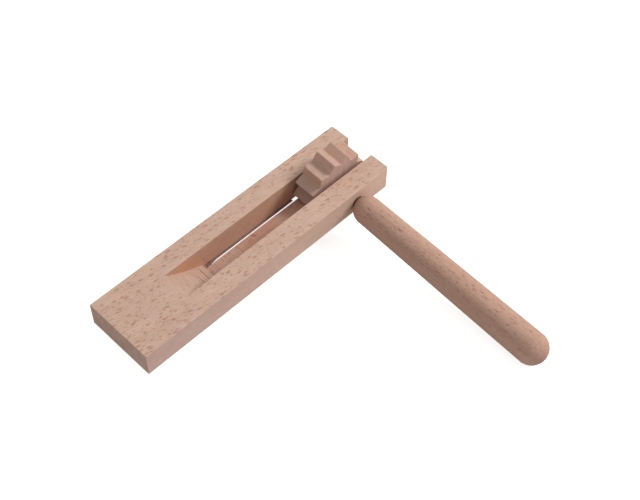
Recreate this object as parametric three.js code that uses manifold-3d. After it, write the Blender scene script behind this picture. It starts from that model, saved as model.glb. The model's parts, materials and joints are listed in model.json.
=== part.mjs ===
// A hand-whirled ratchet rattle in raw beech.
//
// Swing it by the handle and the block flies round the axle.  Its springy
// tongue is lifted and dropped by every tooth of the wheel, which makes the
// rattle.  Five wooden pieces: a block with a sawn slot, the tongue at the
// bottom of that slot, a toothed wheel, the axle and the handle.
//
// Millimetres.  The origin is the middle of the block's solid end, +X runs
// along the block to the wheel, the handle hangs out on -Y and +Z is up.

import * as THREE from 'three';
import { RoundedBoxGeometry } from 'three/addons/geometries/RoundedBoxGeometry.js';
import { mergeVertices } from 'three/addons/utils/BufferGeometryUtils.js';
import Module from 'manifold-3d';

// ---- block ---------------------------------------------------------------
const BLOCK_LENGTH = 200;
const BLOCK_WIDTH = 50;
const BLOCK_HEIGHT = 18.5;
const EDGE_EASE = 1;
const SLOT_WIDTH = 20.4;

// The saw that opened the slot left a curved run-out behind it.
const BLADE_RADIUS = 125;
const RUN_OUT_START = 43.6;
const BLADE_OVERCUT = 7;

// ---- tongue --------------------------------------------------------------
const TONGUE_THICKNESS = 1.8;
const SLIT_WIDTH = 3.2;
const ROOT_GAP = 0.3;
// How far the tip reaches in among the teeth, measured along a tooth.
const TOOTH_BITE = 1.6;

// ---- axle and its bores --------------------------------------------------
const AXLE_SETBACK = 28.1;
// The bores are drilled a little above the middle of the block, and a little
// off square, so the handle droops.
const AXLE_RISE = 1;
const DROOP_DEGREES = 4.9;
const AXLE_DIAMETER = 7;
const BORE_CLEARANCE = 0.5;
const FAR_RAIL_SKIN = 3.8;
const AXLE_END_GAP = 0.6;
const AXLE_END_CHAMFER = 0.5;
const GLUE_LINE = 0.3;

// ---- toothed wheel -------------------------------------------------------
const TOOTH_COUNT = 12;
const WHEEL_RADIUS = 24.1;
const TOOTH_DEPTH = 4.9;
const TOOTH_EASE = 0.9;
const WHEEL_SIDE_ROOM = 2.4;
const WHEEL_OFFSET = 0.6;
// Degrees that the valley facing the tongue has stopped below its tip.
const VALLEY_PAST_TIP = 4.6;

// ---- handle --------------------------------------------------------------
const HANDLE_LENGTH = 153;
const HANDLE_RADIUS_AT_BLOCK = 9.5;
const HANDLE_RADIUS_AT_END = 10.6;
// From the block's side to the pole of the handle's domed root.
const HANDLE_GAP = 0.05;
const HANDLE_BORE_DEPTH = 24;

// ---- what follows from them ----------------------------------------------
const TOP = BLOCK_HEIGHT / 2;
const UNDERSIDE = -BLOCK_HEIGHT / 2;
const BEYOND = 4;
const ROUND = 48;

// The blade's centre is found from where the run-out starts on the top face
// and from how far below the underside the blade reached.
const BLADE_Z = UNDERSIDE - BLADE_OVERCUT + BLADE_RADIUS;
const bladeReach = (z) => Math.sqrt(BLADE_RADIUS ** 2 - (BLADE_Z - z) ** 2);
const BLADE_X = RUN_OUT_START + bladeReach(TOP);

const TONGUE_TOP = UNDERSIDE + TONGUE_THICKNESS;
const TONGUE_WIDTH = SLOT_WIDTH - 2 * SLIT_WIDTH;
const ROOT_X = BLADE_X - bladeReach(TONGUE_TOP);

const AXLE_X = BLOCK_LENGTH - AXLE_SETBACK;
const AXLE_RADIUS = AXLE_DIAMETER / 2;
const BORE_RADIUS = AXLE_RADIUS + BORE_CLEARANCE;
const GLUED_BORE_RADIUS = AXLE_RADIUS + GLUE_LINE;
const BORE_FLOOR = BLOCK_WIDTH / 2 - FAR_RAIL_SKIN;
const DROOP = THREE.MathUtils.degToRad(DROOP_DEGREES);
const HANDLE_START = -(BLOCK_WIDTH / 2 + HANDLE_GAP);

// The tongue ends where its top edge is the bite inside the tooth circle.
const BITE_RADIUS = WHEEL_RADIUS - TOOTH_BITE;
const TIP_DROP = TONGUE_TOP - AXLE_RISE;
const TONGUE_TIP = AXLE_X - Math.sqrt(BITE_RADIUS ** 2 - TIP_DROP ** 2);

const WHEEL_WIDTH = SLOT_WIDTH - 2 * WHEEL_SIDE_ROOM;
const VALLEY_RADIUS = WHEEL_RADIUS - TOOTH_DEPTH;
const TOOTH_PITCH = (2 * Math.PI) / TOOTH_COUNT;
const TIP_ANGLE = Math.atan2(TIP_DROP, TONGUE_TIP - AXLE_X);
const FIRST_VALLEY = TIP_ANGLE + THREE.MathUtils.degToRad(VALLEY_PAST_TIP);

// ---- solid modelling -----------------------------------------------------
const wasm = await Module();
wasm.setup();

function toSolid(geometry) {
  const bare = geometry.clone();
  bare.deleteAttribute('normal');
  bare.deleteAttribute('uv');
  const welded = mergeVertices(bare, 1e-5);
  return new wasm.Manifold(new wasm.Mesh({
    numProp: 3,
    vertProperties: new Float32Array(welded.attributes.position.array),
    triVerts: new Uint32Array(welded.index.array),
  }));
}

function toGeometry(solid) {
  const mesh = solid.getMesh();
  const geometry = new THREE.BufferGeometry();
  geometry.setAttribute('position', new THREE.BufferAttribute(mesh.vertProperties, 3));
  geometry.setIndex(new THREE.BufferAttribute(mesh.triVerts, 1));
  geometry.computeVertexNormals();
  return geometry;
}

function cutAll(geometry, cutters) {
  const left = cutters.reduce(
    (solid, cutter) => solid.subtract(toSolid(cutter)),
    toSolid(geometry),
  );
  return toGeometry(left);
}

// A side profile drawn in X and Z, made solid across the width.
function acrossWidth(shape, width, curveSegments = 12) {
  const geometry = new THREE.ExtrudeGeometry(shape, {
    depth: width,
    bevelEnabled: false,
    curveSegments,
  });
  geometry.rotateX(Math.PI / 2);
  geometry.translate(0, width / 2, 0);
  return geometry;
}

// ---- block ---------------------------------------------------------------
function slotCutter() {
  const above = TOP + BEYOND;
  const below = UNDERSIDE - BEYOND;
  const past = BLOCK_LENGTH + BEYOND;
  const angleAt = (z) => Math.atan2(z - BLADE_Z, -bladeReach(z));
  const side = new THREE.Shape();
  side.absarc(BLADE_X, BLADE_Z, BLADE_RADIUS, angleAt(above), angleAt(TONGUE_TOP), false);
  side.lineTo(ROOT_X, below);
  side.lineTo(past, below);
  side.lineTo(past, above);
  side.closePath();
  return acrossWidth(side, SLOT_WIDTH);
}

function axleBore() {
  const start = -BLOCK_WIDTH / 2 - BEYOND;
  const length = BORE_FLOOR - start;
  const bore = new THREE.CylinderGeometry(BORE_RADIUS, BORE_RADIUS, length, ROUND);
  bore.translate(0, start + length / 2, 0);
  bore.rotateX(DROOP);
  bore.translate(AXLE_X, 0, AXLE_RISE);
  return bore;
}

function blockGeometry() {
  const blank = new RoundedBoxGeometry(BLOCK_LENGTH, BLOCK_WIDTH, BLOCK_HEIGHT, 2, EDGE_EASE);
  blank.translate(BLOCK_LENGTH / 2, 0, 0);
  return cutAll(blank, [slotCutter(), axleBore()]);
}

// ---- tongue --------------------------------------------------------------
// The root is rounded about the line it bends on, so it turns in place.
function tongueGeometry() {
  const half = TONGUE_THICKNESS / 2;
  const bendX = ROOT_X + ROOT_GAP + half;
  const side = new THREE.Shape();
  side.absarc(bendX, UNDERSIDE + half, half, Math.PI / 2, 1.5 * Math.PI, false);
  side.lineTo(TONGUE_TIP, UNDERSIDE);
  side.lineTo(TONGUE_TIP, TONGUE_TOP);
  side.closePath();
  return acrossWidth(side, TONGUE_WIDTH);
}

// ---- toothed wheel -------------------------------------------------------
function polar(radius, angle) {
  return new THREE.Vector2(radius * Math.cos(angle), radius * Math.sin(angle));
}

function ring(radius) {
  const turn = (2 * Math.PI) / ROUND;
  return new THREE.Path(Array.from({ length: ROUND }, (_, i) => polar(radius, i * turn)));
}

function toothCorners() {
  const corners = [];
  for (let tooth = 0; tooth < TOOTH_COUNT; tooth += 1) {
    const valley = FIRST_VALLEY + tooth * TOOTH_PITCH;
    corners.push(polar(VALLEY_RADIUS, valley));
    corners.push(polar(WHEEL_RADIUS, valley + TOOTH_PITCH / 2));
  }
  return corners;
}

// Straight flanks, with every crest and valley eased by a short curve.
function easedOutline(corners, ease) {
  const outline = new THREE.Shape();
  const toward = (from, to) => to.clone().sub(from).setLength(ease).add(from);
  corners.forEach((corner, i) => {
    const before = corners[(i + corners.length - 1) % corners.length];
    const after = corners[(i + 1) % corners.length];
    const start = toward(corner, before);
    const end = toward(corner, after);
    if (i === 0) {
      outline.moveTo(start.x, start.y);
    } else {
      outline.lineTo(start.x, start.y);
    }
    outline.quadraticCurveTo(corner.x, corner.y, end.x, end.y);
  });
  outline.closePath();
  return outline;
}

function wheelGeometry() {
  const outline = easedOutline(toothCorners(), TOOTH_EASE);
  outline.holes.push(ring(GLUED_BORE_RADIUS));
  const geometry = acrossWidth(outline, WHEEL_WIDTH, 4);
  geometry.translate(0, WHEEL_OFFSET, 0);
  return geometry;
}

// ---- axle ----------------------------------------------------------------
function turned(profile) {
  const points = profile.map(([radius, y]) => new THREE.Vector2(radius, y));
  return new THREE.LatheGeometry(points, ROUND);
}

function axleGeometry() {
  const farEnd = BORE_FLOOR - AXLE_END_GAP;
  const handleEnd = HANDLE_START - HANDLE_BORE_DEPTH + GLUE_LINE;
  const flat = AXLE_RADIUS - AXLE_END_CHAMFER;
  return turned([
    [0, handleEnd],
    [flat, handleEnd],
    [AXLE_RADIUS, handleEnd + AXLE_END_CHAMFER],
    [AXLE_RADIUS, farEnd - AXLE_END_CHAMFER],
    [flat, farEnd],
    [0, farEnd],
  ]);
}

// ---- handle --------------------------------------------------------------
// Points (radius, y) of a dome about the axis, between two angles.
function dome(radius, centreY, fromAngle, toAngle, steps) {
  return Array.from({ length: steps + 1 }, (_, i) => {
    const angle = fromAngle + (i / steps) * (toAngle - fromAngle);
    return [radius * Math.cos(angle), centreY + radius * Math.sin(angle)];
  });
}

// Both ends are domed, and the root's dome is open where the axle goes in.
function handleGeometry() {
  const boreFloor = HANDLE_START - HANDLE_BORE_DEPTH;
  const rootY = HANDLE_START - HANDLE_RADIUS_AT_BLOCK;
  const endY = HANDLE_START - HANDLE_LENGTH + HANDLE_RADIUS_AT_END;
  const socketRim = Math.acos(GLUED_BORE_RADIUS / HANDLE_RADIUS_AT_BLOCK);
  const end = dome(HANDLE_RADIUS_AT_END, endY, -Math.PI / 2, 0, 14);
  const root = dome(HANDLE_RADIUS_AT_BLOCK, rootY, 0, socketRim, 12);
  end[0][0] = 0;
  return turned([
    ...end,
    ...root,
    [GLUED_BORE_RADIUS, boreFloor],
    [0, boreFloor],
  ]);
}

// ---- wood ----------------------------------------------------------------
// Raw beech, no finish: each piece its own board or dowel, so its own shade.
function beech(colour) {
  return new THREE.MeshStandardMaterial({ color: colour, roughness: 0.75, metalness: 0 });
}

const blockWood = () => beech(0xcfab8e);
const tongueWood = () => beech(0xb98a68);
const wheelWood = () => beech(0xbc9a80);
const axleWood = () => beech(0xc9a582);
const handleWood = () => beech(0xb8917a);

// ---- assembly ------------------------------------------------------------
function named(name, geometry, material) {
  const mesh = new THREE.Mesh(geometry, material);
  mesh.name = name;
  return mesh;
}

// Wheel, axle and handle are glued together and hang at the droop angle.
function makeSpinner() {
  const spinner = new THREE.Group();
  spinner.name = 'spinner';
  spinner.position.set(AXLE_X, 0, AXLE_RISE);
  spinner.rotation.x = DROOP;
  spinner.add(named('axle', axleGeometry(), axleWood()));
  spinner.add(named('ratchet_wheel', wheelGeometry(), wheelWood()));
  spinner.add(named('handle', handleGeometry(), handleWood()));
  return spinner;
}

const group = new THREE.Group();
group.name = 'ratchet_rattle';
group.add(named('block', blockGeometry(), blockWood()));
group.add(named('tongue', tongueGeometry(), tongueWood()));
group.add(makeSpinner());

export default group;
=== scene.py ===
# %% [markdown]
# # A ratchet rattle in raw beech
# The toy is swung round by its handle. A wooden block flies round the axle,
# and its long springy tongue is lifted and dropped by every tooth of the
# wheel, which makes the rattle.
#
# The lesson builds its five wooden pieces over a measured model, and every
# piece takes its place from that model. The wheel and the tongue turn on
# joints of their own here: a turning wheel does not push the tongue, and
# between two rest positions a tooth passes through it unless it is bent.

# %% Load the measured model
import json
import math

import bmesh
import bpy
from mathutils import Matrix, Vector


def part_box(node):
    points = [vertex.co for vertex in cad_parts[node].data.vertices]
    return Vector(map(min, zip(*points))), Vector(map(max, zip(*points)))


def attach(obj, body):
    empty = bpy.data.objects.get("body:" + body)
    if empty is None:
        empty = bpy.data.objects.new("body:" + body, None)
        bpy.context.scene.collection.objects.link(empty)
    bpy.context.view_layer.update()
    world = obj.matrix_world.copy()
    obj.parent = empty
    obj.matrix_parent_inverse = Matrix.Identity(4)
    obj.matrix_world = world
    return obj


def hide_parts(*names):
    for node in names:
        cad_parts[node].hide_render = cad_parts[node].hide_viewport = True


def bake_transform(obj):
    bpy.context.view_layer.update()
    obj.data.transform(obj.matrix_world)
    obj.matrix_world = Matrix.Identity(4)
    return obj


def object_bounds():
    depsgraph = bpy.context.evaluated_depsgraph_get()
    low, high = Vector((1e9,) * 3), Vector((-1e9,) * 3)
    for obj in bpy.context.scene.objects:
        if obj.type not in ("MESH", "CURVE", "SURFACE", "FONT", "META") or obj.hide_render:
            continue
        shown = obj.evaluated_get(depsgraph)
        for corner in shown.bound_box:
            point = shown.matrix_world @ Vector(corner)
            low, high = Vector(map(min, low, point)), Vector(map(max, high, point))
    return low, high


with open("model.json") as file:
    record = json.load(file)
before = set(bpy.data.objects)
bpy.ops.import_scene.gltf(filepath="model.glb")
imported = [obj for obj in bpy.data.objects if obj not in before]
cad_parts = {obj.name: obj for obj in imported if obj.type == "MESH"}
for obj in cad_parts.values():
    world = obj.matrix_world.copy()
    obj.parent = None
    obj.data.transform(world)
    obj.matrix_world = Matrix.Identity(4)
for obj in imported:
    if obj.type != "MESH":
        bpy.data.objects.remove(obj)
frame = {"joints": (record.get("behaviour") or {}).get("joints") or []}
cad_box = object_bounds()
MM = 0.001
print("measured box, mm:", [round(v / MM, 1) for corner in cad_box for v in corner])

# %% [markdown]
# ## Camera
# A long lens a good half metre away keeps the block's edges nearly parallel.
# The camera looks down steeply, so the slot, the tongue and the top of the
# wheel all show. It is turned by three angles, as a photographer would set a
# tripod head: round the object, down towards it, and a slight roll.

# %% Camera
LENS = 65.7
STAND = Vector((-0.18031, -0.33255, 0.56690))
ROUND_THE_OBJECT = math.radians(-46.06)
LOOKING_DOWN = math.radians(52.98)
ROLL = math.radians(1.03)


def place_camera():
    camera = bpy.data.objects.new("camera", bpy.data.cameras.new("camera"))
    bpy.context.collection.objects.link(camera)
    camera.data.lens = LENS
    camera.data.clip_start = 0.01
    turn = (
        Matrix.Rotation(ROUND_THE_OBJECT, 4, "Z")
        @ Matrix.Rotation(math.pi / 2 - LOOKING_DOWN, 4, "X")
        @ Matrix.Rotation(ROLL, 4, "Z")
    )
    camera.matrix_world = Matrix.Translation(STAND) @ turn
    bpy.context.scene.camera = camera
    return camera


camera = place_camera()
print("lens, mm:", camera.data.lens)

# %% [markdown]
# ## Wiring shader nodes
# Materials are small networks of nodes. Two helpers keep them readable: one
# adds a node with its switches and wires in a single line, and the other
# opens a reusable group with named sockets.

# %% Helpers for nodes
def node(tree, kind, wires=None, **switches):
    made = tree.nodes.new(kind)
    for name, value in switches.items():
        setattr(made, name, value)
    for name, value in (wires or {}).items():
        if isinstance(value, bpy.types.NodeSocket):
            tree.links.new(value, made.inputs[name])
        else:
            made.inputs[name].default_value = value
    return made


def maths(tree, operation, *values):
    return node(
        tree, "ShaderNodeMath", dict(enumerate(values)), operation=operation
    ).outputs[0]


def stretched(tree, place, amounts):
    """The same place with each direction squeezed by its own amount."""
    return node(
        tree, "ShaderNodeVectorMath", {0: place, 1: amounts}, operation="MULTIPLY"
    ).outputs[0]


def cloudy(tree, place, detail=2.0, roughness=0.5):
    return node(
        tree,
        "ShaderNodeTexNoise",
        {"Vector": place, "Scale": 1.0, "Detail": detail, "Roughness": roughness},
    )


def ramped(tree, value, start, end, low=0.0, high=1.0):
    return node(
        tree,
        "ShaderNodeMapRange",
        {
            "Value": value, "From Min": start, "From Max": end,
            "To Min": low, "To Max": high,
        },
        interpolation_type="SMOOTHSTEP",
    ).outputs["Result"]


def blended(tree, share, first, second, blend_type="MIX"):
    return node(
        tree,
        "ShaderNodeMix",
        {0: share, 6: first, 7: second},
        data_type="RGBA",
        blend_type=blend_type,
    ).outputs[2]


def open_group(name, inputs, outputs):
    group = bpy.data.node_groups.new(name, "ShaderNodeTree")
    for label, kind, value in inputs:
        socket = group.interface.new_socket(label, in_out="INPUT", socket_type=kind)
        socket.default_value = value
    for label, kind in outputs:
        group.interface.new_socket(label, in_out="OUTPUT", socket_type=kind)
    way_in = group.nodes.new("NodeGroupInput").outputs
    way_out = group.nodes.new("NodeGroupOutput").inputs
    return group, way_in, way_out


def colour(red, green, blue):
    """A colour named by its everyday 0-255 values, turned into linear light."""
    def linear(level):
        share = level / 255
        return share / 12.92 if share <= 0.04045 else ((share + 0.055) / 1.055) ** 2.4

    return (linear(red), linear(green), linear(blue), 1.0)


print("beech reads as", [round(v, 3) for v in colour(196, 164, 146)])

# %% [markdown]
# ## What beech looks like
# Beech is a pale pinkish wood without bold rings. Its mark is the ray fleck:
# on a face cut flat from the log the rays show end on, as small brown
# spindles a few millimetres long that lie along the grain. On a face at
# right angles to that they are seen from the side and fade, and thin ring
# lines run along the wood instead. Sawn across, the end grain is darker.
#
# All of it is painted in solid space, with the grain along the first axis, so
# every cut through the wood shows its right pattern and no seam can appear.

# %% The beech group
TONE = "NodeSocketColor"
LEVEL = "NodeSocketFloat"
PLACE = "NodeSocketVector"
RING_MM = 3.1
POINTED = 1.25
RAY_TONE = (0.71, 0.67, 0.70, 1)
BETWEEN_RAYS = (0.88, 0.85, 0.87, 1)


def make_beech_group():
    group, has, gives = open_group(
        "beech",
        [
            ("Place", PLACE, (0, 0, 0)),
            ("Pale", TONE, colour(216, 184, 164)),
            ("Warm", TONE, colour(196, 160, 139)),
            ("Ash", TONE, colour(196, 168, 156)),
            ("Fleck", TONE, colour(154, 92, 66)),
            ("Fleck Size", PLACE, (5.2, 1.65, 7.0)),
            ("Fleck Share", LEVEL, 0.9),
            ("Fleck Depth", LEVEL, 0.8),
            ("Pith", PLACE, (0, 8, -75)),
            ("Side Grain", LEVEL, 0.0),
            ("End Grain", LEVEL, 0.0),
        ],
        [("Colour", TONE), ("Roughness", LEVEL), ("Height", LEVEL)],
    )
    mm = stretched(group, has["Place"], (1000, 1000, 1000))

    # Rings lie round the pith, and wander a little along the trunk.
    wander = cloudy(group, stretched(group, mm, (0.012, 0.05, 0.05))).outputs[0]
    across = stretched(group, mm, (0, 1, 1))
    from_pith = node(
        group, "ShaderNodeVectorMath", {0: across, 1: has["Pith"]}, operation="DISTANCE"
    ).outputs["Value"]
    age = maths(group, "MULTIPLY_ADD", wander, 7.0, from_pith)
    swing = maths(group, "SINE", maths(group, "MULTIPLY", age, 2 * math.pi / RING_MM))
    ring = maths(group, "POWER", maths(group, "MULTIPLY_ADD", swing, 0.5, 0.5), 2.5)

    patches = cloudy(group, stretched(group, mm, (0.02, 0.1, 0.1)), 3).outputs[0]
    fibres = cloudy(group, stretched(group, mm, (0.11, 1.1, 1.1)), 4, 0.6).outputs[0]
    greys = cloudy(group, stretched(group, mm, (0.16, 0.6, 0.6)), 3, 0.6).outputs[0]
    pores = cloudy(group, stretched(group, mm, (0.9, 6, 6)), 2).outputs[0]

    tone = maths(group, "MULTIPLY", ramped(group, patches, 0.3, 0.7), 0.35)
    tone = maths(group, "MULTIPLY_ADD", ramped(group, fibres, 0.3, 0.7), 0.5, tone)
    tone = maths(group, "MULTIPLY_ADD", ring, 0.15, tone)
    wood = blended(group, tone, has["Pale"], has["Warm"])
    greyed = ramped(group, greys, 0.42, 0.68, 0.0, 0.55)
    wood = blended(group, greyed, wood, has["Ash"])

    # Flecks: cells drawn out to spindles, with some cells left empty. The
    # surface slices them anywhere, so no two are alike.
    shift = cloudy(group, stretched(group, mm, (0.35, 0.7, 0.15)), 2).outputs[1]
    bent = node(
        group, "ShaderNodeVectorMath", {0: shift, 1: (2.2, 1.1, 0), 2: mm},
        operation="MULTIPLY_ADD",
    ).outputs[0]
    crowd = cloudy(group, stretched(group, mm, (0.035, 0.09, 0.06)), 2).outputs[0]
    crowding = ramped(group, crowd, 0.3, 0.7, 0.5, 1.35)
    share = maths(group, "MULTIPLY", has["Fleck Share"], crowding)

    def spindles(size, part, longest):
        in_cells = node(
            group, "ShaderNodeVectorMath", {0: bent, 1: size}, operation="DIVIDE"
        ).outputs[0]
        cell = node(
            group, "ShaderNodeTexVoronoi",
            {"Vector": in_cells, "Scale": 1.0, "Exponent": POINTED},
            voronoi_dimensions="3D", distance="MINKOWSKI",
        )
        lot = node(group, "ShaderNodeSeparateColor", {0: cell.outputs["Color"]})
        empty = maths(group, "SUBTRACT", 1.0, maths(group, "MULTIPLY", share, part))
        grown = maths(group, "GREATER_THAN", lot.outputs[0], empty)
        reach = ramped(group, lot.outputs[1], 0.0, 1.0, longest * 0.45, longest)
        core = maths(group, "MULTIPLY", reach, 0.45)
        mark = ramped(group, cell.outputs["Distance"], reach, core)
        mark = maths(group, "MULTIPLY", mark, grown)
        strength = ramped(group, lot.outputs[2], 0, 1, 0.35, 1)
        return maths(group, "MULTIPLY", mark, strength)

    large = spindles(has["Fleck Size"], 0.85, 0.62)
    small_size = stretched(group, has["Fleck Size"], (0.5, 0.5, 0.5))
    small = maths(group, "MULTIPLY", spindles(small_size, 0.7, 0.6), 0.6)
    flecks = maths(group, "MAXIMUM", large, small)
    seen_end_on = maths(group, "MULTIPLY_ADD", has["Side Grain"], -0.9, 1.0)
    not_end = maths(group, "SUBTRACT", 1.0, has["End Grain"])
    shown = maths(group, "MULTIPLY", seen_end_on, not_end)
    flecks = maths(group, "MULTIPLY", flecks, shown)
    depth = maths(group, "MULTIPLY", flecks, has["Fleck Depth"])
    wood = blended(group, depth, wood, has["Fleck"])

    # End grain: darker, with the rays as fine upright lines.
    rays = cloudy(group, stretched(group, mm, (0, 0.7, 0.06)), 4, 0.65).outputs[0]
    end = blended(group, ramped(group, rays, 0.36, 0.64), RAY_TONE, BETWEEN_RAYS)
    end = blended(group, 1.0, wood, end, "MULTIPLY")
    wood = blended(group, has["End Grain"], wood, end)
    pinpricks = ramped(group, pores, 0.58, 0.75, 0.0, 0.12)
    wood = blended(group, pinpricks, wood, has["Fleck"])

    group.links.new(wood, gives["Colour"])
    group.links.new(ramped(group, fibres, 0.2, 0.8, 0.62, 0.76), gives["Roughness"])
    relief = maths(group, "MULTIPLY_ADD", pores, -0.5, fibres)
    relief = maths(group, "MULTIPLY_ADD", flecks, -0.25, relief)
    group.links.new(relief, gives["Height"])
    return group


beech = make_beech_group()
print("beech group:", len(beech.nodes), "nodes")

# %% [markdown]
# ## Saw marks
# The slot and the tongue were never sanded. The blade's teeth leave fine
# lines across the cut, and where it slowed down it scorched a few of them
# brown. The group takes the wood's colour and lays the lines over it, as
# strongly as it is told.

# %% The saw mark group
def make_saw_group():
    group, has, gives = open_group(
        "saw_marks",
        [
            ("Place", PLACE, (0, 0, 0)),
            ("Wood", TONE, (1, 1, 1, 1)),
            ("Amount", LEVEL, 0.0),
            ("Scorch", LEVEL, 0.0),
            ("Burn", TONE, colour(140, 92, 68)),
        ],
        [("Colour", TONE), ("Height", LEVEL)],
    )
    mm = stretched(group, has["Place"], (1000, 1000, 1000))
    lines = cloudy(group, stretched(group, mm, (1.3, 0.1, 0.3)), 4, 0.75).outputs[0]
    strokes = ramped(group, lines, 0.49, 0.64)
    faded = cloudy(group, stretched(group, mm, (0.5, 0.2, 0.1)), 2).outputs[0]
    strokes = maths(group, "MULTIPLY", strokes, ramped(group, faded, 0.32, 0.62))
    strength = maths(group, "MULTIPLY", has["Amount"], 0.5)
    dark = maths(group, "MULTIPLY", strokes, strength)
    wood = blended(group, dark, has["Wood"], has["Burn"])
    broken = ramped(group, faded, 0.34, 0.58, 0.15, 1.0)
    burnt = maths(group, "MULTIPLY", broken, has["Scorch"])
    wood = blended(group, burnt, wood, has["Burn"])
    group.links.new(wood, gives["Colour"])
    group.links.new(maths(group, "MULTIPLY", lines, has["Amount"]), gives["Height"])
    return group


saw_marks = make_saw_group()
print("saw mark group:", len(saw_marks.nodes), "nodes")

# %% [markdown]
# ## Helpers for pieces
# A piece is drawn as a mesh with Blender's own modelling operators, its
# modifiers are settled into plain faces, and it is then hung on the part of
# the measured model that it stands for. Each face also remembers how it was
# cut from the wood: across the grain, or along the side of the rays. The
# beech group reads those two marks.

# %% Helpers for meshes
def piece_from(name, bm):
    mesh = bpy.data.meshes.new(name)
    bmesh.ops.recalc_face_normals(bm, faces=bm.faces)
    bm.to_mesh(mesh)
    bm.free()
    piece = bpy.data.objects.new(name, mesh)
    bpy.context.collection.objects.link(piece)
    return piece


def settle(piece):
    """Turns a piece's modifiers into plain faces."""
    seen = piece.evaluated_get(bpy.context.evaluated_depsgraph_get())
    mesh = bpy.data.meshes.new_from_object(seen)
    piece.modifiers.clear()
    piece.data = mesh


def carve(piece, *cutters, operation="DIFFERENCE"):
    for cutter in cutters:
        cut = piece.modifiers.new(cutter.name, "BOOLEAN")
        cut.operation = operation
        cut.object = cutter
    settle(piece)
    for cutter in cutters:
        bpy.data.objects.remove(cutter)


def ease_edges(piece, width, segments=2, angle=33):
    """Takes the sharpness off every edge and shades the faces cleanly."""
    edge = piece.modifiers.new("ease", "BEVEL")
    edge.width = width
    edge.segments = segments
    edge.limit_method = "ANGLE"
    edge.angle_limit = math.radians(angle)
    settle(piece)
    for face in piece.data.polygons:
        face.use_smooth = True
    piece.modifiers.new("shade", "WEIGHTED_NORMAL")
    settle(piece)


def mark_cuts(piece, grain, ray):
    """Stores how squarely each face looks along the grain and along the rays."""
    end = piece.data.attributes.new("end_grain", "FLOAT", "FACE")
    side = piece.data.attributes.new("side_grain", "FLOAT", "FACE")
    for face in piece.data.polygons:
        along = abs(face.normal.dot(grain))
        end.data[face.index].value = along**3
        flat = abs(face.normal.dot(ray))
        side.data[face.index].value = (1 - flat) * (1 - along**3)


def mark_faces(piece, name, chosen):
    """Stores 1 on the faces that are chosen and 0 on the rest."""
    mark = piece.data.attributes.new(name, "FLOAT", "FACE")
    for face in piece.data.polygons:
        mark.data[face.index].value = float(chosen(face))


def stand_for(piece, body, node_name, material):
    piece.data.materials.clear()
    piece.data.materials.append(material)
    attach(piece, body)
    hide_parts(node_name)
    print(piece.name, "has", len(piece.data.polygons), "faces")


# %% [markdown]
# ## The block
# The block is a length of planed beech with its outer edges eased. A wide
# saw blade, lowered into it from above, opened the slot: it ran out at the
# open end and left a curved ramp at the other. Here the same blade path is
# swung as an arc, pushed out to the slot's width and cut away, and the
# tongue is then laid into its floor with a saw's kerf on either side. One
# bore carries the axle through the near rail and partly into the far one. It
# was drilled a little off square, which is why the handle droops.
#
# A thin lip is added at the foot of either wall and painted nearly black, as
# painted shade. It is a guess: the measured model has none, and narrower
# kerfs would look much the same.

# %% Sizes read from the model
block_low, block_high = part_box("block")
tongue_low, tongue_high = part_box("tongue")
spin_joint = next(j for j in frame["joints"] if j["name"] == "handle_spin")
AXLE_CENTRE = Vector(spin_joint["pos_m"])
AXLE_RUN = Vector(spin_joint["axis"])
TOP = block_high.z
UNDERSIDE = block_low.z
TONGUE_TOP = tongue_high.z
SLIT = 3.2 * MM
SLOT = tongue_high.y - tongue_low.y + 2 * SLIT
ROOT_GAP = 0.3 * MM
ROOT_X = tongue_low.x - ROOT_GAP
EDGE_EASE = 0.5 * MM
WORN_CORNER = 1.6 * MM
print("slot width, mm:", round(SLOT / MM, 2), " root, mm:", round(ROOT_X / MM, 2))

# %% Block blank
def block_blank():
    bm = bmesh.new()
    bmesh.ops.create_cube(bm, size=1)
    bmesh.ops.scale(bm, vec=block_high - block_low, verts=bm.verts)
    bmesh.ops.translate(bm, vec=(block_high + block_low) / 2, verts=bm.verts)
    worn = [
        e for e in bm.edges
        if abs((e.verts[0].co - e.verts[1].co).z) > MM
        and all(v.co.x > block_high.x - MM for v in e.verts)
    ]
    bmesh.ops.bevel(
        bm, geom=worn, offset=WORN_CORNER, segments=4, profile=0.5,
        affect="EDGES", material=-1,
    )
    sharp = [e for e in bm.edges if e.calc_face_angle() > math.radians(45)]
    bmesh.ops.bevel(
        bm, geom=sharp, offset=EDGE_EASE, segments=3, profile=0.5,
        affect="EDGES", material=-1,
    )
    return piece_from("block_wood", bm)


block_wood = block_blank()
print("blank:", len(block_wood.data.polygons), "faces")

# %% Drawing lines and arcs
def draw_line(bm, *points):
    corners = [bm.verts.new(point) for point in points]
    for start, end in zip(corners, corners[1:]):
        bm.edges.new((start, end))


def draw_arc(bm, centre, start, axis, angle, steps):
    bmesh.ops.spin(
        bm, geom=[bm.verts.new(start)], cent=centre, axis=axis, angle=angle,
        steps=steps,
    )


def joined(bm):
    bmesh.ops.remove_doubles(bm, verts=bm.verts, dist=1e-6)


def corners_of(geometry):
    return [part for part in geometry if isinstance(part, bmesh.types.BMVert)]


# %% Slot cutter
BLADE_RADIUS = 125 * MM
BLADE_OVERCUT = 7 * MM
RUN_OUT_START = 43.6 * MM
CLEAR_OF_WOOD = 4 * MM
ACROSS = Vector((0, 1, 0))


def blade_centre():
    height = UNDERSIDE - BLADE_OVERCUT + BLADE_RADIUS
    reach = math.sqrt(BLADE_RADIUS**2 - (height - TOP) ** 2)
    return Vector((RUN_OUT_START + reach, 0, height))


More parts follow.
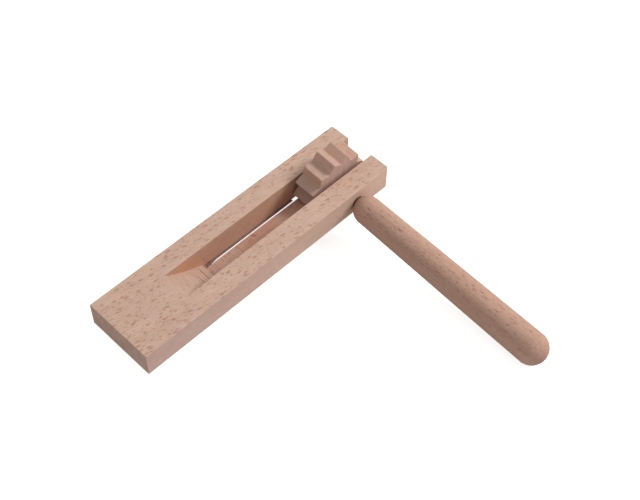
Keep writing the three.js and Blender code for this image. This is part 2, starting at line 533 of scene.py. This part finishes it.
def slot_cutter():
    centre = blade_centre()
    half = SLOT / 2
    start = Vector((RUN_OUT_START, -half, TOP))
    foot = Vector((ROOT_X, -half, TONGUE_TOP))
    hub = Vector((centre.x, -half, centre.z))
    sweep = (start - hub).angle(foot - hub)
    beyond = CLEAR_OF_WOOD
    past_end = block_high.x + beyond
    bm = bmesh.new()
    draw_arc(bm, hub, start, ACROSS, -sweep, 40)
    outline = [
        foot,
        Vector((ROOT_X, -half, UNDERSIDE - beyond)),
        Vector((past_end, -half, UNDERSIDE - beyond)),
        Vector((past_end, -half, TOP + beyond)),
        Vector((RUN_OUT_START - beyond, -half, TOP + beyond)),
        start,
    ]
    draw_line(bm, *outline)
    joined(bm)
    side = bmesh.ops.contextual_create(bm, geom=bm.edges)["faces"]
    swept = bmesh.ops.extrude_face_region(bm, geom=side)["geom"]
    bmesh.ops.translate(bm, vec=ACROSS * SLOT, verts=corners_of(swept))
    return piece_from("slot", bm)


def round_cutter(name, radius, start, end):
    """A round bar from start to end."""
    bm = bmesh.new()
    run = end - start
    bmesh.ops.create_cone(
        bm, cap_ends=True, segments=64, radius1=radius, radius2=radius,
        depth=run.length,
    )
    turn = run.to_track_quat("Z", "Y").to_matrix()
    bmesh.ops.rotate(bm, cent=(0, 0, 0), matrix=turn, verts=bm.verts)
    bmesh.ops.translate(bm, vec=(start + end) / 2, verts=bm.verts)
    return piece_from(name, bm)


# %% Cut the block
BORE_RADIUS = 4 * MM
FAR_RAIL_SKIN = 3.8 * MM
BORE_FLOOR = block_high.y - FAR_RAIL_SKIN
LEDGE_WIDTH = 1.45 * MM
LEDGE_HEIGHT = 0.45 * MM
LEDGE_TAPER = 9 * MM
SHARP_ARRIS = 0.12 * MM


def axle_bore():
    near = AXLE_CENTRE + AXLE_RUN * (block_high.y + CLEAR_OF_WOOD)
    far = AXLE_CENTRE - AXLE_RUN * BORE_FLOOR
    return round_cutter("bore", BORE_RADIUS, near, far)


def kerf_ledge(side):
    """The lip at one wall's foot, painted dark as shade; wide at the root and narrow
    beyond it.
    """
    wall = SLOT / 2
    root, end = ROOT_X + 0.2 * MM, tongue_high.x - 3 * MM
    outline = [
        (root, wall + MM),
        (root, tongue_high.y + 0.4 * MM),
        (root + LEDGE_TAPER, wall - LEDGE_WIDTH),
        (end, wall - LEDGE_WIDTH),
        (end, wall + MM),
    ]
    low = UNDERSIDE + 0.02 * MM
    bm = bmesh.new()
    draw_line(bm, *((x, side * y, low) for x, y in outline + outline[:1]))
    joined(bm)
    foot = bmesh.ops.contextual_create(bm, geom=bm.edges)["faces"]
    raised = bmesh.ops.extrude_face_region(bm, geom=foot)["geom"]
    bmesh.ops.translate(bm, vec=(0, 0, LEDGE_HEIGHT), verts=corners_of(raised))
    return piece_from("ledge", bm)


carve(block_wood, slot_cutter(), axle_bore())
carve(block_wood, kerf_ledge(1), kerf_ledge(-1), operation="UNION")
ease_edges(block_wood, SHARP_ARRIS)
mark_cuts(block_wood, grain=Vector((1, 0, 0)), ray=Vector((0, 0, 1)))


def in_slot(face):
    between_walls = abs(face.center.y) < SLOT / 2 + 0.05 * MM
    return between_walls and face.center.x > RUN_OUT_START


def on_ledge(face):
    foot = UNDERSIDE + LEDGE_HEIGHT + 0.1 * MM
    over_kerf = ROOT_X < face.center.x < tongue_high.x
    return in_slot(face) and face.center.z < foot and over_kerf


mark_faces(block_wood, "ledge", on_ledge)
mark_faces(
    block_wood, "slot_wall",
    lambda f: in_slot(f) and abs(f.normal.y) > 0.9 and not on_ledge(f),
)
mark_faces(block_wood, "ramp", lambda f: in_slot(f) and 0.5 < f.normal.z < 0.98)
mark_faces(
    block_wood, "planed_side",
    lambda f: abs(f.normal.y) > 0.9 and abs(f.center.y) > block_high.y - MM,
)
print("cut block:", len(block_wood.data.polygons), "faces")

# %% [markdown]
# ## Beech for the block
# The board was cut flat from the log, so its top is full of flecks and its
# sides are quiet. The grain runs a few degrees off the block's edges. The
# ramp carries saw marks and a few scorch lines near its foot. The walls are
# painted darker and redder as warm shade, with a warmer crescent beside the
# ramp where the blade was lowered a second time. Towards their foot they are
# painted lighter, as light bounced up from below, and the lip at their foot
# is painted nearly black as shade.

# %% Block material
SECOND_CUT = Vector((57, 0, -8.5)) * MM
SECOND_CUT_RADIUS = 17 * MM
# Painted shade on the slot walls: darker and redder, as warm light bounced between them.
WALL_PAINTED_SHADE = (0.94, 0.82, 0.74, 1)
CRESCENT_TONE = (1.02, 0.81, 0.66, 1)
# Painted shade: the lip at the walls' foot is nearly black.
LEDGE_PAINTED_SHADE = (0.36, 0.32, 0.33, 1)
RAMP_TONE = (0.87, 0.87, 0.87, 1)
SCORCHES = (62.8, 68.0, 72.6)
SIDE_TONE_SOLID_END = (0.88, 0.86, 0.91, 1)
SIDE_TONE_OPEN_END = (1.03, 1.03, 1.02, 1)
# Painted light: the walls are lightened towards their foot, as light bounced up from
# below.
WALL_FOOT_PAINTED_LIGHT = (1.12, 1.14, 1.14, 1)
GRAIN_SLANT = math.radians(12)


def open_material(name, roughness_bump=0.06):
    material = bpy.data.materials.new(name)
    material.use_nodes = True
    tree = material.node_tree
    skin = tree.nodes["Principled BSDF"]
    skin.inputs["IOR"].default_value = 1.45
    skin.inputs["Specular IOR Level"].default_value = 0.35
    relief = node(
        tree, "ShaderNodeBump", {"Strength": 0.5, "Distance": roughness_bump * MM}
    )
    tree.links.new(relief.outputs[0], skin.inputs["Normal"])
    return material, tree, skin, relief


def marked(tree, name):
    return node(tree, "ShaderNodeAttribute", attribute_name=name).outputs["Fac"]


def group_in(tree, group, wires):
    made = tree.nodes.new("ShaderNodeGroup")
    made.node_tree = group
    for name, value in wires.items():
        if isinstance(value, bpy.types.NodeSocket):
            tree.links.new(value, made.inputs[name])
        else:
            made.inputs[name].default_value = value
    return made.outputs


def beech_in(tree, place, **looks):
    wires = {
        "Place": place,
        "End Grain": marked(tree, "end_grain"),
        "Side Grain": marked(tree, "side_grain"),
    }
    wires.update({name.replace("_", " "): value for name, value in looks.items()})
    return group_in(tree, beech, wires)


def saw_in(tree, place, wood, amount, scorch):
    wires = {"Place": place, "Wood": wood, "Amount": amount, "Scorch": scorch}
    return group_in(tree, saw_marks, wires)


def distance(tree, first, second):
    squares = [maths(tree, "MULTIPLY", side, side) for side in (first, second)]
    return maths(tree, "SQRT", maths(tree, "ADD", *squares))


def thin_lines(tree, along, places):
    """A mask of hairlines square to the grain, at some places along it, in mm."""
    mask = 0.0
    for place in places:
        off = maths(tree, "ABSOLUTE", maths(tree, "SUBTRACT", along, place * MM))
        mask = maths(tree, "MAXIMUM", mask, ramped(tree, off, 0.5 * MM, 0.1 * MM))
    return mask


def block_beech():
    material, tree, skin, relief = open_material("block_beech")
    place = node(tree, "ShaderNodeTexCoord").outputs["Object"]
    part = node(tree, "ShaderNodeSeparateXYZ", {0: place})
    ramp = marked(tree, "ramp")
    wall = marked(tree, "slot_wall")
    fleck_depth = maths(tree, "MULTIPLY_ADD", ramp, -0.85, 0.95)
    slanted = node(
        tree, "ShaderNodeMapping", {"Vector": place, "Rotation": (0, 0, GRAIN_SLANT)},
    ).outputs[0]
    wood = beech_in(tree, slanted, Fleck_Share=1.0, Fleck_Depth=fleck_depth)

    # The walls are painted darker and redder, as warm shade in the slot; within the
    # blade's second path a redder crescent tone is used instead.
    off_x = maths(tree, "SUBTRACT", part.outputs["X"], SECOND_CUT.x)
    off_z = maths(tree, "SUBTRACT", part.outputs["Z"], SECOND_CUT.z)
    gap = distance(tree, off_x, off_z)
    soft = 0.3 * MM
    crescent = ramped(tree, gap, SECOND_CUT_RADIUS + soft, SECOND_CUT_RADIUS - soft)
    wall_tone = blended(tree, crescent, WALL_PAINTED_SHADE, CRESCENT_TONE)
    # Towards their foot the walls are painted lighter, as light bounced up from below.
    near_floor = ramped(tree, part.outputs["Z"], -2 * MM, -8 * MM)
    wall_tone = blended(tree, near_floor, wall_tone, WALL_FOOT_PAINTED_LIGHT, "MULTIPLY")
    tone = blended(tree, wall, wood["Colour"], wall_tone, "MULTIPLY")
    tone = blended(tree, ramp, tone, RAMP_TONE, "MULTIPLY")
    # The lip at the walls' foot is painted nearly black, as shade.
    tone = blended(tree, marked(tree, "ledge"), tone, LEDGE_PAINTED_SHADE, "MULTIPLY")

    # The planed sides are greyer towards the solid end.
    towards_end = ramped(tree, part.outputs["X"], block_low.x, block_high.x)
    side_tone = blended(tree, towards_end, SIDE_TONE_SOLID_END, SIDE_TONE_OPEN_END)
    tone = blended(tree, marked(tree, "planed_side"), tone, side_tone, "MULTIPLY")

    # Saw lines on the ramp, with a few scorched ones near its foot.
    begun = ramped(tree, part.outputs["X"], RUN_OUT_START, RUN_OUT_START + 6 * MM)
    hairlines = thin_lines(tree, part.outputs["X"], SCORCHES)
    scorch = maths(tree, "MULTIPLY", ramp, hairlines)
    sawn = saw_in(tree, place, tone, maths(tree, "MULTIPLY", ramp, begun), scorch)
    tree.links.new(sawn["Colour"], skin.inputs["Base Color"])
    tree.links.new(wood["Roughness"], skin.inputs["Roughness"])
    height = maths(tree, "ADD", wood["Height"], sawn["Height"])
    tree.links.new(height, relief.inputs["Height"])
    return material


stand_for(block_wood, "frame", "block", block_beech())

# %% [markdown]
# ## The tongue
# The tongue is a thin springy leaf at the bottom of the slot, one with the
# block at its root and free at its tip. It is modelled as a strip with many
# cross cuts along its length. Its first few millimetres taper into the block,
# out of sight.

# %% Tongue
BURIED_ROOT = 3 * MM
CROSS_CUTS = 60
LEAF_EASE = 0.15 * MM


def tongue_leaf():
    low = Vector((ROOT_X - BURIED_ROOT, tongue_low.y, tongue_low.z))
    size = tongue_high - low
    bm = bmesh.new()
    bmesh.ops.create_cube(bm, size=1)
    bmesh.ops.scale(bm, vec=size, verts=bm.verts)
    bmesh.ops.translate(bm, vec=low + size / 2, verts=bm.verts)
    long_edges = [
        e for e in bm.edges if abs((e.verts[0].co - e.verts[1].co).x) > size.x / 2
    ]
    bmesh.ops.bevel(
        bm, geom=long_edges, offset=LEAF_EASE, segments=2, profile=0.5,
        affect="EDGES", material=-1,
    )
    step = size.x / CROSS_CUTS
    for cut in range(1, CROSS_CUTS):
        bmesh.ops.bisect_plane(
            bm, geom=bm.verts[:] + bm.edges[:] + bm.faces[:],
            plane_co=low + Vector((cut * step, 0, 0)), plane_no=(1, 0, 0),
        )
    root = [v for v in bm.verts if v.co.x < ROOT_X - 0.1 * MM]
    middle = Vector((0, 0, low.z + size.z / 2))
    bmesh.ops.scale(
        bm, vec=(1, 0.9, 0.6), verts=root, space=Matrix.Translation(-middle),
    )
    return piece_from("tongue_leaf", bm)


leaf = tongue_leaf()
mark_cuts(leaf, grain=Vector((1, 0, 0)), ray=Vector((0, 0, 1)))
print("tongue, mm:", round((tongue_high.x - ROOT_X) / MM, 1), "long")

# %% Tongue material
STAIN = Vector((110.3, 5.0, 0)) * MM
STAIN_COLOUR = colour(150, 88, 64)
TONGUE_SCORCHES = (78.0, 86.5, 97.0)
MIDDLE_TONE = (0.90, 0.78, 0.72, 1)
TIP_TONE = (1.16, 1.12, 1.08, 1)
# Painted light: lifts the near rail's shadow on the tongue.
NEAR_KERF_PAINTED_LIGHT = (1.12, 1.12, 1.12, 1)


def tongue_beech():
    material, tree, skin, relief = open_material("tongue_beech")
    place = node(tree, "ShaderNodeTexCoord").outputs["Object"]
    wood = beech_in(
        tree, place, Fleck_Share=0.6, Fleck_Depth=0.5,
        Pale=colour(206, 170, 150), Warm=colour(190, 150, 128),
    )
    part = node(tree, "ShaderNodeSeparateXYZ", {0: place})
    along, place_y = part.outputs["X"], part.outputs["Y"]
    near_root = ramped(tree, along, 110 * MM, 74 * MM, 0.25, 0.8)
    scorch = maths(tree, "MULTIPLY", thin_lines(tree, along, TONGUE_SCORCHES), 0.5)
    sawn = saw_in(tree, place, wood["Colour"], near_root, scorch)

    # The middle of the leaf is warmer and its tip paler.
    warmer = ramped(tree, along, 90 * MM, 112 * MM)
    cooler = ramped(tree, along, 118 * MM, 134 * MM)
    warmed = maths(tree, "SUBTRACT", warmer, cooler)
    tone = blended(tree, warmed, sawn["Colour"], MIDDLE_TONE, "MULTIPLY")
    tone = blended(tree, cooler, tone, TIP_TONE, "MULTIPLY")

    # It is painted paler along the near kerf, as painted light that lifts the near rail's
    # shadow, and carries one small mineral stain.
    rail_shadow_lift = ramped(tree, place_y, 2 * MM, -7 * MM)
    tone = blended(tree, rail_shadow_lift, tone, NEAR_KERF_PAINTED_LIGHT, "MULTIPLY")
    off_x = maths(tree, "SUBTRACT", along, STAIN.x)
    off_y = maths(tree, "SUBTRACT", place_y, STAIN.y)
    skewed = maths(tree, "MULTIPLY_ADD", off_y, 0.5, off_x)
    narrowed = maths(tree, "MULTIPLY", off_y, math.sqrt(0.2))
    reach = distance(tree, skewed, narrowed)
    stain = ramped(tree, reach, 1.1 * MM, 0.3 * MM, 0.0, 0.8)
    tone = blended(tree, stain, tone, STAIN_COLOUR)
    tree.links.new(tone, skin.inputs["Base Color"])
    tree.links.new(wood["Roughness"], skin.inputs["Roughness"])
    height = maths(tree, "ADD", wood["Height"], sawn["Height"])
    tree.links.new(height, relief.inputs["Height"])
    return material


leaf.data.materials.append(tongue_beech())
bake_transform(leaf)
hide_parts("tongue")

# %% [markdown]
# ## The turning parts
# Axle, wheel and handle are glued together and turn as one, about a bore
# that lies a few degrees off square. They are drawn upright about their own
# axis, with the handle on the negative side, and then turned and moved to
# the axle's centre in one step.

# %% The hanging turn
DROOP = math.atan2(-AXLE_RUN.z, -AXLE_RUN.y)
hang = Matrix.Translation(AXLE_CENTRE) @ Matrix.Rotation(DROOP, 4, "X")
print("droop, degrees:", round(math.degrees(DROOP), 2))

# %% [markdown]
# ## The toothed wheel
# The wheel is a slice of a twelve-toothed bar. One tooth is drawn as two
# straight flanks and copied round the axis, the outline is filled and pushed
# out to the wheel's width, and the crests and valleys are eased, because a
# sharp crest of beech would crumble. The grain runs along the axle.

# %% Wheel
TEETH = 12
WHEEL_RADIUS = 24.1 * MM
VALLEY_RADIUS = 19.2 * MM
TOOTH_EASE = 0.9 * MM
RIM_EASE = 0.45 * MM
WHEEL_SIDE_ROOM = 2.4 * MM
WHEEL_WIDTH = SLOT - 2 * WHEEL_SIDE_ROOM
WHEEL_OFFSET = 0.6 * MM
VALLEY_PAST_TIP = math.radians(4.6)


def first_valley():
    """Where the valley facing the tongue's tip has stopped."""
    tip = Vector((tongue_high.x, 0, TONGUE_TOP)) - AXLE_CENTRE
    return math.atan2(tip.z, tip.x) + VALLEY_PAST_TIP


def wheel_blank():
    near = WHEEL_OFFSET - WHEEL_WIDTH / 2
    pitch = 2 * math.pi / TEETH

    def rim(radius, angle):
        return Vector((radius * math.cos(angle), near, radius * math.sin(angle)))

    valley = first_valley()
    bm = bmesh.new()
    draw_line(
        bm,
        rim(VALLEY_RADIUS, valley),
        rim(WHEEL_RADIUS, valley + pitch / 2),
        rim(VALLEY_RADIUS, valley + pitch),
    )
    bmesh.ops.spin(
        bm, geom=bm.verts[:] + bm.edges[:], cent=(0, 0, 0), axis=ACROSS,
        angle=2 * math.pi, steps=TEETH, use_duplicate=True,
    )
    joined(bm)
    face = bmesh.ops.contextual_create(bm, geom=bm.edges)["faces"]
    pushed = bmesh.ops.extrude_face_region(bm, geom=face)["geom"]
    bmesh.ops.translate(bm, vec=ACROSS * WHEEL_WIDTH, verts=corners_of(pushed))
    across = [
        e for e in bm.edges
        if abs((e.verts[0].co - e.verts[1].co).y) > WHEEL_WIDTH / 2
    ]
    bmesh.ops.bevel(
        bm, geom=across, offset=TOOTH_EASE, segments=4, profile=0.5,
        affect="EDGES", material=-1,
    )
    return piece_from("wheel_wood", bm)


AXLE_RADIUS = 3.5 * MM
GLUE_LINE = 0.3 * MM
HOLE_RADIUS = AXLE_RADIUS + GLUE_LINE
PAST_WHEEL = 30 * MM * ACROSS
wheel_wood = wheel_blank()
carve(wheel_wood, round_cutter("axle_hole", HOLE_RADIUS, -PAST_WHEEL, PAST_WHEEL))
ease_edges(wheel_wood, RIM_EASE, segments=3, angle=50)
mark_cuts(wheel_wood, grain=ACROSS, ray=Vector((0, 0, 1)))
for side_name, side in (("lifting_flank", -1), ("dropping_flank", 1)):
    mark_faces(
        wheel_wood, side_name,
        lambda f: abs(f.normal.y) < 0.5
        and side * f.normal.dot(ACROSS.cross(f.center)) > 0,
    )
wheel_wood.data.transform(hang)
print("wheel:", len(wheel_wood.data.polygons), "faces")

# %% Wheel material
# Painted light and shade on the teeth: the dropping flanks, mostly lit at rest, are
# painted darker as shade, and the lifting flanks, mostly in shade at rest, are painted
# redder as warm bounce light.
LIFTING_FLANK_PAINTED_BOUNCE = (0.92, 0.82, 0.77, 1)
DROPPING_FLANK_PAINTED_SHADE = (0.82, 0.79, 0.75, 1)


def along_the_axle(tree):
    """Places on the turning parts, with the first axis along the handle."""
    place = node(tree, "ShaderNodeTexCoord").outputs["Object"]
    straight = node(
        tree, "ShaderNodeMapping",
        {
            "Vector": place,
            "Location": hang.inverted().to_translation(),
            "Rotation": hang.inverted().to_euler(),
        },
    ).outputs[0]
    return node(
        tree, "ShaderNodeMapping",
        {"Vector": straight, "Rotation": (0, 0, math.pi / 2)},
    ).outputs[0]


def turned_beech(name, tones=(), **looks):
    material, tree, skin, relief = open_material(name)
    wood = beech_in(tree, along_the_axle(tree), **looks)
    tone = wood["Colour"]
    for mark, tint in tones:
        tone = blended(tree, marked(tree, mark), tone, tint, "MULTIPLY")
    tree.links.new(tone, skin.inputs["Base Color"])
    tree.links.new(wood["Roughness"], skin.inputs["Roughness"])
    tree.links.new(wood["Height"], relief.inputs["Height"])
    return material


wheel_beech = turned_beech(
    "wheel_beech",
    tones=(("lifting_flank", LIFTING_FLANK_PAINTED_BOUNCE), ("dropping_flank", DROPPING_FLANK_PAINTED_SHADE)),
    Fleck_Share=0.8, Fleck_Depth=0.5, Fleck_Size=(6.0, 0.9, 0.9),
    Pith=(0, 40, -30), Pale=colour(212, 181, 165), Warm=colour(200, 165, 149),
    Ash=colour(204, 176, 164),
)
stand_for(wheel_wood, "spinner", "ratchet_wheel", wheel_beech)

# %% [markdown]
# ## The axle and the handle
# Both are turned dowels, so both are a profile spun round the axis. The
# handle grows a little towards its free end. Both its ends are domes, and
# the dome at the block is open where the axle is glued into its socket. The
# axle's wood is painted dark as shade, so the gap round it at the handle's
# root reads dark.

# %% Turned pieces
AXLE_CHAMFER = 0.5 * MM
AXLE_END_GAP = 0.6 * MM
HANDLE_GAP = 0.05 * MM
HANDLE_LENGTH = 152.98 * MM
SOCKET_DEPTH = 24 * MM
HANDLE_START = block_low.y - HANDLE_GAP
HANDLE_END = HANDLE_START - HANDLE_LENGTH
SOCKET_FLOOR = HANDLE_START - SOCKET_DEPTH
HANDLE_RADIUS_AT_BLOCK = 9.5 * MM
HANDLE_RADIUS_AT_END = 10.58 * MM


def spun(name, bm, steps=72):
    joined(bm)
    bmesh.ops.spin(
        bm, geom=bm.verts[:] + bm.edges[:], cent=(0, 0, 0), axis=ACROSS,
        angle=2 * math.pi, steps=steps, use_merge=True,
    )
    joined(bm)
    return piece_from(name, bm)


def axle_profile():
    far = BORE_FLOOR - AXLE_END_GAP
    near = SOCKET_FLOOR + GLUE_LINE
    flat = AXLE_RADIUS - AXLE_CHAMFER
    bm = bmesh.new()
    draw_line(
        bm,
        (0, near, 0),
        (flat, near, 0),
        (AXLE_RADIUS, near + AXLE_CHAMFER, 0),
        (AXLE_RADIUS, far - AXLE_CHAMFER, 0),
        (flat, far, 0),
        (0, far, 0),
    )
    return bm


def handle_profile():
    socket = AXLE_RADIUS + GLUE_LINE
    end_centre = (0, HANDLE_END + HANDLE_RADIUS_AT_END, 0)
    root_centre = (0, HANDLE_START - HANDLE_RADIUS_AT_BLOCK, 0)
    root_turn = math.acos(socket / HANDLE_RADIUS_AT_BLOCK)
    rim_y = root_centre[1] + HANDLE_RADIUS_AT_BLOCK * math.sin(root_turn)
    end_side = (HANDLE_RADIUS_AT_END, end_centre[1], 0)
    root_side = (HANDLE_RADIUS_AT_BLOCK, root_centre[1], 0)
    turn = (0, 0, 1)
    bm = bmesh.new()
    draw_arc(bm, end_centre, (0, HANDLE_END, 0), turn, math.pi / 2, 18)
    draw_line(bm, end_side, root_side)
    draw_arc(bm, root_centre, root_side, turn, root_turn, 16)
    draw_line(
        bm, (socket, rim_y, 0), (socket, SOCKET_FLOOR, 0), (0, SOCKET_FLOOR, 0)
    )
    return bm


def shade_round(piece, angle=40):
    for face in piece.data.polygons:
        face.use_smooth = True
    piece.data.set_sharp_from_angle(angle=math.radians(angle))


axle_dowel = spun("axle_dowel", axle_profile(), 48)
handle_wood = spun("handle_wood", handle_profile())
for dowel in (axle_dowel, handle_wood):
    shade_round(dowel)
    mark_cuts(dowel, grain=ACROSS, ray=Vector((0, 0, 1)))
    dowel.data.transform(hang)

# The axle is painted dark as shade, for the deep gap round it at the handle's root.
axle_beech = turned_beech(
    "axle_beech", Fleck_Share=0.8, Fleck_Depth=0.5, Fleck_Size=(4.0, 1.0, 1.0),
    Pale=colour(104, 68, 52), Warm=colour(78, 48, 36), Ash=colour(86, 58, 46),
)
handle_beech = turned_beech(
    "handle_beech", Fleck_Share=1.7, Fleck_Depth=0.85, Fleck_Size=(4.4, 0.8, 0.8),
    Fleck=colour(128, 86, 68), Ash=colour(184, 145, 128),
    Pale=colour(197, 160, 140), Warm=colour(180, 140, 120), Pith=(0, 30, -25),
)
stand_for(axle_dowel, "spinner", "axle", axle_beech)
stand_for(handle_wood, "spinner", "handle", handle_beech)

# %% [markdown]
# ## Floor
# The toy lies on a plain white sweep. The floor itself is a pale grey that
# throws back a natural amount of light. To the camera alone it also glows a
# little, so it reads as white and still keeps the toy's soft shadow.

# %% Floor
FLOOR_SIZE = 6
PAPER_GREY = (0.78, 0.78, 0.78, 1)
PAPER_GLOW = 0.74


def make_floor():
    bm = bmesh.new()
    bmesh.ops.create_grid(bm, x_segments=1, y_segments=1, size=FLOOR_SIZE)
    bmesh.ops.translate(bm, vec=(0, 0, cad_box[0].z), verts=bm.verts)
    return piece_from("floor", bm)


def sweep_paper():
    material = bpy.data.materials.new("sweep_paper")
    material.use_nodes = True
    tree = material.node_tree
    tree.nodes.clear()
    camera_only = node(tree, "ShaderNodeLightPath").outputs["Is Camera Ray"]
    paper = node(tree, "ShaderNodeBsdfDiffuse", {"Color": PAPER_GREY})
    glow = maths(tree, "MULTIPLY", camera_only, PAPER_GLOW)
    lift = node(tree, "ShaderNodeEmission", {"Strength": glow})
    both = node(tree, "ShaderNodeAddShader", {0: paper.outputs[0], 1: lift.outputs[0]})
    node(tree, "ShaderNodeOutputMaterial", {"Surface": both.outputs[0]})
    return material


floor = make_floor()
floor.data.materials.append(sweep_paper())

# %% [markdown]
# ## Light
# One large soft lamp stands high on the right and gives the pieces their
# light and dark sides. The pale room fills the shadows. Together they light
# an upward face by about one, so wood renders in the colour it was given.

# %% Light
LAMP_WAY = Vector((0.71, -0.33, 0.62)).normalized()
LAMP_DISTANCE = 2.5
LAMP_SIZE = 0.9
LAMP_WATTS = 48
ROOM_FILL = 0.51
WHITE = (1, 1, 1, 1)


def make_lamp():
    lamp = bpy.data.objects.new("key_lamp", bpy.data.lights.new("key_lamp", "AREA"))
    bpy.context.collection.objects.link(lamp)
    lamp.data.shape = "DISK"
    lamp.data.size = LAMP_SIZE
    lamp.data.energy = LAMP_WATTS
    middle = (cad_box[0] + cad_box[1]) / 2
    lamp.location = middle + LAMP_WAY * LAMP_DISTANCE
    lamp.rotation_mode = "QUATERNION"
    lamp.rotation_quaternion = LAMP_WAY.to_track_quat("Z", "Y")
    return lamp


def make_room():
    world = bpy.data.worlds.new("room")
    world.use_nodes = True
    tree = world.node_tree
    tree.nodes.clear()
    kind = "ShaderNodeBackground"
    fill = node(tree, kind, {"Color": WHITE, "Strength": ROOM_FILL}).outputs[0]
    white = node(tree, kind, {"Color": WHITE, "Strength": 1.0}).outputs[0]
    seen = node(tree, "ShaderNodeLightPath").outputs["Is Camera Ray"]
    mix = node(tree, "ShaderNodeMixShader", {0: seen, 1: fill, 2: white})
    node(tree, "ShaderNodeOutputWorld", {"Surface": mix.outputs[0]})
    bpy.context.scene.world = world


make_lamp()
make_room()
bpy.context.scene.view_settings.view_transform = "Standard"
